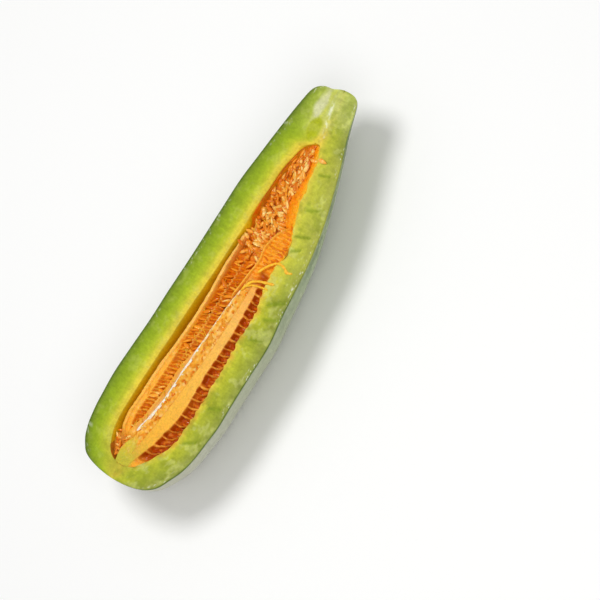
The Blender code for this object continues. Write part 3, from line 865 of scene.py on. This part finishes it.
def scatter(name, places, material):
    """Copies of the seed joined into one piece. A place is position, turn, size and shade."""
    pattern = seed_form()
    source = pattern.data
    count = len(source.vertices)
    base = np.zeros(count * 3)
    source.vertices.foreach_get("co", base)
    bm = bmesh.new()
    for _ in places:
        bm.from_mesh(source)
    bm.verts.ensure_lookup_table()
    for i, (position, turn, size, _) in enumerate(places):
        matrix = Matrix.LocRotScale(Vector(position) * MM, Euler(turn), Vector((size, size, size)))
        bmesh.ops.transform(bm, matrix=matrix, verts=bm.verts[i * count:(i + 1) * count])
    mesh = bpy.data.meshes.new(name)
    bm.to_mesh(mesh)
    bm.free()
    made = bpy.data.objects.new(name, mesh)
    bpy.context.scene.collection.objects.link(made)
    bpy.data.objects.remove(pattern)
    mesh.shade_smooth()
    paint_number(made, "shade", np.repeat([place[3] for place in places], count))
    mesh.materials.append(material)
    return made


def seed_material(name, stops):
    """Melon seed in its film of juice: a smooth cream husk, darker where the jelly stains it."""
    made, tree = new_material(name)
    shade = node(tree, "ShaderNodeAttribute", {"attribute_name": "shade"})
    juice = grain(tree, node(tree, "ShaderNodeTexCoord"), 500.0, 3.0)
    mixed = node(tree, "ShaderNodeMath", {"operation": "MULTIPLY_ADD", 1: 0.7},
                 [(0, juice, "Fac"), (2, shade, "Fac")])
    shifted = node(tree, "ShaderNodeMath", {"operation": "SUBTRACT", 1: 0.35}, [(0, mixed, "Value")])
    surface(tree, {"IOR": 1.4, "Roughness": 0.28, "Subsurface Weight": 0.3,
                   "Subsurface Radius": (1.0, 0.5, 0.15), "Subsurface Scale": 0.0012,
                   "Specular IOR Level": 0.2, "Coat Weight": 0.22, "Coat Roughness": 0.06},
            ("Base Color", shades(tree, shifted, "Value", stops), "Color"),
            ("Normal", ripples(tree, 0.25, 0.0003, juice), "Normal"))
    return made


def cluster_places():
    """Small seeds and beads of jelly in the blossom end of the left gutter."""
    random = np.random.RandomState(10)
    places = []
    for _ in range(GUTTER_SEED_COUNT):
        x = random.uniform(-122, -103)
        low = read_at(TONGUE_LEFT, x) + 0.8
        high = float(wall_y(np.array(x), 4.0, 1)) - 0.8
        y = random.uniform(low, max(high, low + 0.1))
        turn = (random.uniform(-1, 1), random.normal(0, 0.3), random.uniform(0, math.pi))
        place = (x, y, CUT - random.uniform(3.2, 4.4))
        places.append((place, turn, random.uniform(0.42, 0.75), random.uniform(0, 1)))
    return places


def bed_places():
    """The jumble of loose seeds in the open upper part of the bed."""
    random = np.random.RandomState(7)
    places = []
    while len(places) < BED_SEED_COUNT:
        x = random.uniform(14, 98)
        left = float(wall_y(np.array(x), read_at(UPPER_LEFT_DOWN, x), 1)) - 1.0
        right = read_at(MEMBRANE if x < 46 else STRIP_LEFT, x) + 0.6
        y = random.uniform(right, left)
        if random.rand() > ease(12, 40, x):
            continue
        base = pulp_depth_at(x, y)
        depth = base - random.uniform(0.1, 1.7)
        along = float(ease(45, 80, x))
        yaw = random.normal(math.radians(85 - 75 * along), math.radians(32))
        tilt = random.normal(0, math.radians(16))
        rolled = random.uniform(-0.75, 0.75)
        turn = (rolled, tilt, yaw)
        places.append(((x, y, CUT - depth), turn, random.uniform(0.88, 1.1), random.uniform(0, 1)))
    return places


def lens_places():
    """Seeds side by side in the pocket behind the membrane."""
    random = np.random.RandomState(12)
    places = []
    x = 20.0
    while x < 45:
        low, high = float(rim(np.array(x), -1)) + 2.0, read_at(MEMBRANE, x) - 1.5
        count = 1 + int((high - low) / 6.5)
        for i in range(count):
            y = low + (high - low) * (i + 0.5) / count + random.uniform(-0.6, 0.6)
            turn = (random.normal(1.0, 0.3), random.normal(0, 0.12), math.radians(random.normal(86, 9)))
            place = (x + random.uniform(-0.5, 0.5), y, CUT - random.uniform(2.5, 3.3))
            places.append((place, turn, random.uniform(0.8, 1.0), random.uniform(0, 0.6)))
        x += 2.7
    return places


def ladder_places():
    """Seeds standing on edge in the cells between ridge and strand, one to a cell."""
    random = np.random.RandomState(8)
    places = []
    for count in range(int(-104 / CELL_PITCH), int(34 / CELL_PITCH)):
        columns = 1 if count * CELL_PITCH < -48 else 2
        for i in range(columns):
            x = count * CELL_PITCH
            for _ in range(4):
                low = read_at(STRAND, x) + (4.4 if columns == 1 else 1.0)
                if x > 0:
                    low = read_at(MEMBRANE, x) + 1.2
                high = read_at(RIDGE, x) - (3.4 if columns == 1 else 1.4)
                y = low + (high - low) * (i + 0.5) / columns
                x += (count + 0.5 * (i % 2) - float(cell_count(np.array(x), np.array(y)))) * CELL_PITCH
            x += random.uniform(-0.5, 0.5)
            y += random.uniform(-1.2, 1.2)
            depth = float(3.0 + 2.6 * ease(-4, 34, x)) + random.uniform(-0.6, 1.0)
            yaw = math.atan2(1.0, -0.30) + random.normal(0, math.radians(15))
            turn = (random.normal(math.radians(58), math.radians(26)), random.normal(0, 0.15), yaw)
            size = min(1.15, (high - low) / columns / 5.8) * random.uniform(0.8, 1.08)
            if random.rand() < CELLS_FILLED:
                places.append(((x, y, CUT - depth), turn, size, random.uniform(0, 1)))
    return places


def dot_places():
    """Small seeds sunk in the strip between the white strand and the level band."""
    random = np.random.RandomState(13)
    places = []
    for x in np.arange(-100.0, 2.0, 2.3):
        low = read_at(BAND_LEFT, x) + 1.0
        high = read_at(STRAND, x) - 1.4
        y = random.uniform(low, max(high, low + 0.1))
        turn = (random.uniform(-0.4, 0.4), random.normal(0, 0.15), random.normal(1.2, 0.4))
        places.append(((x + random.uniform(-0.8, 0.8), y, CUT - random.uniform(1.5, 2.0)), turn,
                       random.uniform(0.5, 0.85), random.uniform(0, 1)))
    return places


def pocket_places():
    """One or two swollen seeds in each pocket on the right."""
    random = np.random.RandomState(9)
    places = []
    for i in range(POCKETS):
        x = POCKET_START + (POCKET_END - POCKET_START) * ((i + 0.5) / POCKETS) ** (1 / POCKET_GAIN)
        band = read_at(BAND_RIGHT, x)
        wall = float(rim(np.array(x), -1))
        y = band + (wall - band) * 0.62
        for j in range(2):
            rolled = math.radians(random.uniform(-30, 30))
            turn = (rolled, random.normal(0, 0.15), math.radians(random.normal(84, 10)))
            place = (x + (j - 0.5) * 2.2 + random.uniform(-0.5, 0.5), y, CUT - 3.3 - random.uniform(0, 0.9))
            places.append((place, turn, random.uniform(0.88, 1.02), random.uniform(0, 1)))
    return places


# ---------------------------------------------------------------- strands

THREAD_COUNT = 46


def strand(name, points, width, material, flat=1.0, sides=12):
    """A thread of pulp through a few points (x, y, depth), tapering at both ends."""
    steps = np.linspace(0, len(points) - 1, 14 * len(points))
    order = np.arange(len(points))
    centre = np.stack([curve(tuple(zip(order, [p[k] for p in points])), steps) for k in range(3)], axis=-1)
    tangent = np.gradient(centre, axis=0)
    tangent /= np.linalg.norm(tangent, axis=1)[:, None]
    up = np.tile(np.array([0.0, 0.0, 1.0]), (len(steps), 1))
    across = np.cross(up, tangent)
    across /= np.linalg.norm(across, axis=1)[:, None]
    taper = np.sqrt(np.clip(1 - np.abs(np.linspace(-1, 1, len(steps))) ** 6, 0, 1))
    uneven = 1 + 0.25 * lumps(steps * 3, steps * 0, 1.0, 51)
    grid = np.zeros((len(steps), sides, 3))
    for j in range(sides):
        angle = 2 * math.pi * j / sides
        out = (width / 2 * taper * uneven)[:, None]
        grid[:, j] = centre * np.array([1, 1, -1]) + np.array([0, 0, CUT])
        grid[:, j] += across * out * math.cos(angle) + up * out * math.sin(angle) * flat
    made = closed_form(name, grid)[0]
    made.data.shade_smooth()
    if material:
        made.data.materials.append(material)
    return made


def strand_material(name, pale, deep):
    """A fibre of the pulp, wet and partly see-through."""
    made, tree = new_material(name)
    fibre = grain(tree, node(tree, "ShaderNodeTexCoord"), 700.0, 3.0)
    surface(tree, {"IOR": 1.37, "Roughness": 0.4, "Subsurface Weight": 0.4,
                   "Subsurface Radius": (1.0, 0.6, 0.2), "Subsurface Scale": 0.0012,
                   "Specular IOR Level": 0.25, "Coat Weight": 0.12, "Coat Roughness": 0.12},
            ("Base Color", shades(tree, fibre, "Fac", ((0.35, deep), (0.6, pale))), "Color"),
            ("Normal", ripples(tree, 0.3, 0.0003, fibre), "Normal"))
    return made


def threads():
    """Fine fibres lying every way over the seeds, joined into one piece."""
    random = np.random.RandomState(11)
    made = []
    while len(made) < THREAD_COUNT:
        x = random.uniform(-100, 90)
        lower_line = STRAND if x < 0 else MEMBRANE if x < 46 else STRIP_LEFT
        lower = read_at(lower_line, x) + 1
        upper = read_at(RIDGE, x) - 1.5 if x < 32 else float(wall_y(np.array(x), 4.5, 1)) - 2.0
        y = random.uniform(lower, upper)
        turn = random.normal(0.9, 0.5)
        reach = random.uniform(3, 7)
        points = []
        for t in (-0.5, -0.2, 0.15, 0.5):
            px = x + math.cos(turn) * reach * t + random.normal(0, 0.5)
            py = min(max(y + math.sin(turn) * reach * t + random.normal(0, 0.5), lower), upper)
            base = pulp_depth_at(px, py)
            lift = 1.3 if x > 10 else 0.5
            points.append((px, py, max(base - lift, 0.3)))
        made.append(strand("thread", points, random.uniform(0.45, 0.8), None, 0.7, 6))
    bpy.ops.object.select_all(action="DESELECT")
    for piece in made:
        piece.select_set(True)
    bpy.context.view_layer.objects.active = made[0]
    bpy.ops.object.join()
    joined = bpy.context.object
    joined.name = "pulp_threads"
    return joined


# ---------------------------------------------------------------- floor, light and camera

def build_studio():
    bpy.ops.object.select_all(action="DESELECT")
    bpy.ops.mesh.primitive_plane_add(size=6.0, location=(0, 0, -0.0002))
    floor = bpy.context.object
    floor.name = "studio_floor"
    made, tree = new_material("studio_floor_matt_white")
    shader = node(tree, "ShaderNodeBsdfPrincipled", {"Base Color": (0.95, 0.95, 0.94, 1), "Roughness": 0.9})
    node(tree, "ShaderNodeOutputMaterial", {}, [("Surface", shader, "BSDF")])
    floor.data.materials.append(made)
    scene = bpy.context.scene
    world = bpy.data.worlds.new("studio_air")
    scene.world = world
    world.use_nodes = True
    world.node_tree.nodes["Background"].inputs["Color"].default_value = (1.0, 1.0, 1.0, 1.0)
    world.node_tree.nodes["Background"].inputs["Strength"].default_value = 0.45
    add_light("key_softbox", (0.15, 0.25, 1.3), 0.6, 8.4)
    add_light("front_softbox", (-0.2, -0.8, 0.9), 0.8, 3.6)
    scene.view_settings.view_transform = "Standard"
    scene.view_settings.look = "None"


def add_light(name, place, size, power):
    data = bpy.data.lights.new(name, "AREA")
    data.shape = "DISK"
    data.size = size
    data.energy = power
    made = bpy.data.objects.new(name, data)
    bpy.context.scene.collection.objects.link(made)
    made.location = place
    made.rotation_euler = (-Vector(place)).to_track_quat("-Z", "Y").to_euler()


# The camera looks down on the cut face from the -Y side, rolled so that the fruit leans.
CAMERA_TILT = 35.0
CAMERA_ROLL = 60.57
CAMERA_REACH = 4.0
CAMERA_LENS = 400.0
# The camera looks at this y, a little to the left of the middle of the fruit.
VIEW_Y = 3.3
FRAME_SHIFT = (43.4, -8.7)


def build_camera():
    tilt = math.radians(CAMERA_TILT)
    roll = math.radians(CAMERA_ROLL)
    forward = Vector((0, math.sin(tilt), -math.cos(tilt)))
    up_flat = Vector((0, math.cos(tilt), math.sin(tilt)))
    along = Vector((1, 0, 0))
    right = along * math.cos(roll) - up_flat * math.sin(roll)
    up = along * math.sin(roll) + up_flat * math.cos(roll)
    centre = Vector((0, VIEW_Y, CUT)) * MM + right * FRAME_SHIFT[0] * MM + up * FRAME_SHIFT[1] * MM
    data = bpy.data.cameras.new("camera")
    data.lens = CAMERA_LENS
    data.sensor_width = 36.0
    made = bpy.data.objects.new("camera", data)
    bpy.context.scene.collection.objects.link(made)
    turn = Matrix((right, up, -forward)).transposed()
    made.matrix_world = Matrix.Translation(centre - forward * CAMERA_REACH) @ turn.to_4x4()
    bpy.context.scene.camera = made


def seat(piece, slot, *replaced):
    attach(piece, "root")
    if replaced:
        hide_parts(*replaced)


# Fibres torn across the right rim: name, width, and points as x, y and depth.
CROSSING_STRANDS = (
    ("crossing_strand_1", 1.8, ((1, -6.2, 0.6), (8, -9.7, 0.3), (11, -14.5, 0.2), (12.5, -20, 0.0),
                                (14, -26.5, 0.1))),
    ("crossing_strand_3", 1.3, ((4, -7.0, 0.7), (7, -11.5, 0.3), (8.5, -17, 0.1), (9.5, -24, 0.1))),
    ("crossing_strand_2", 1.8, ((15, -10.0, 1.2), (21, -14.5, 0.6), (26, -20.5, 0.1), (26.0, -26, -0.1),
                                (24, -30, 0.0), (25, -34.0, 0.1))),
)
BED_SEEDS = [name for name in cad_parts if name.startswith("bed_seed")]
ROW_SEEDS = [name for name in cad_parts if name.startswith("row_seed")]

seat(build_flesh(), "rind_and_flesh", "rind_and_flesh")
seat(build_pulp(), "seed_pulp", "seed_pulp")
cream = seed_material("melon_seed_cream_wet",
                      ((0.0, "d86c06"), (0.35, "ec8a1a"), (0.7, "f6a634"), (1.0, "ffd078")))
amber = seed_material("melon_seed_amber_wet",
                      ((0.0, "a03a02"), (0.4, "b84c04"), (0.8, "cc640a"), (1.0, "e08a28")))
gold = seed_material("melon_seed_gold_wet",
                     ((0.0, "d87008"), (0.4, "ec8c16"), (0.8, "f8a82e"), (1.0, "ffca6c")))
seat(scatter("upper_bed_seeds", bed_places(), cream), "bed_seed", *BED_SEEDS)
seat(scatter("ladder_seeds", ladder_places(), gold), "row_seed")
seat(scatter("strip_seeds", dot_places(), gold), "row_seed")
seat(scatter("membrane_pocket_seeds", lens_places(), gold), "row_seed")
seat(scatter("gutter_end_seeds", cluster_places(), cream), "row_seed")
seat(scatter("pocket_seeds", pocket_places(), amber), "row_seed", *ROW_SEEDS)
white = strand_material("pulp_fibre_white_wet", "fbf2e2", "f2d8b8")
yellow = strand_material("pulp_fibre_yellow_wet", "fcc63a", "f4aa1c")
cream_fibre = strand_material("pulp_fibre_cream_wet", "fae4bc", "f2c480")
white_points = [(x, read_at(STRAND, x), 1.6) for x in (-104, -92, -78, -57, -35)]
seat(strand("white_strand", white_points, 2.2, white, 0.5), "seed_pulp")
cream_points = [(x, read_at(STRAND, x), 1.7) for x in (-42, -30, -17, -6, 2)]
seat(strand("cream_strand", cream_points, 1.6, cream_fibre, 0.5), "seed_pulp")
for name, width, points in CROSSING_STRANDS:
    seat(strand(name, points, width, yellow, 0.6), "seed_pulp")
fibres = threads()
fibres.data.materials.append(yellow)
seat(fibres, "seed_pulp")
loose = [((92.5, -13.0, CUT + 0.7), (0.3, 0.05, math.radians(-88)), 1.15, 0.8),
         ((90.5, -7.6, CUT - 0.6), (0.2, 0.15, math.radians(-80)), 1.0, 0.8)]
seat(scatter("loose_seeds", loose, cream), "bed_seed")
build_studio()
build_camera()
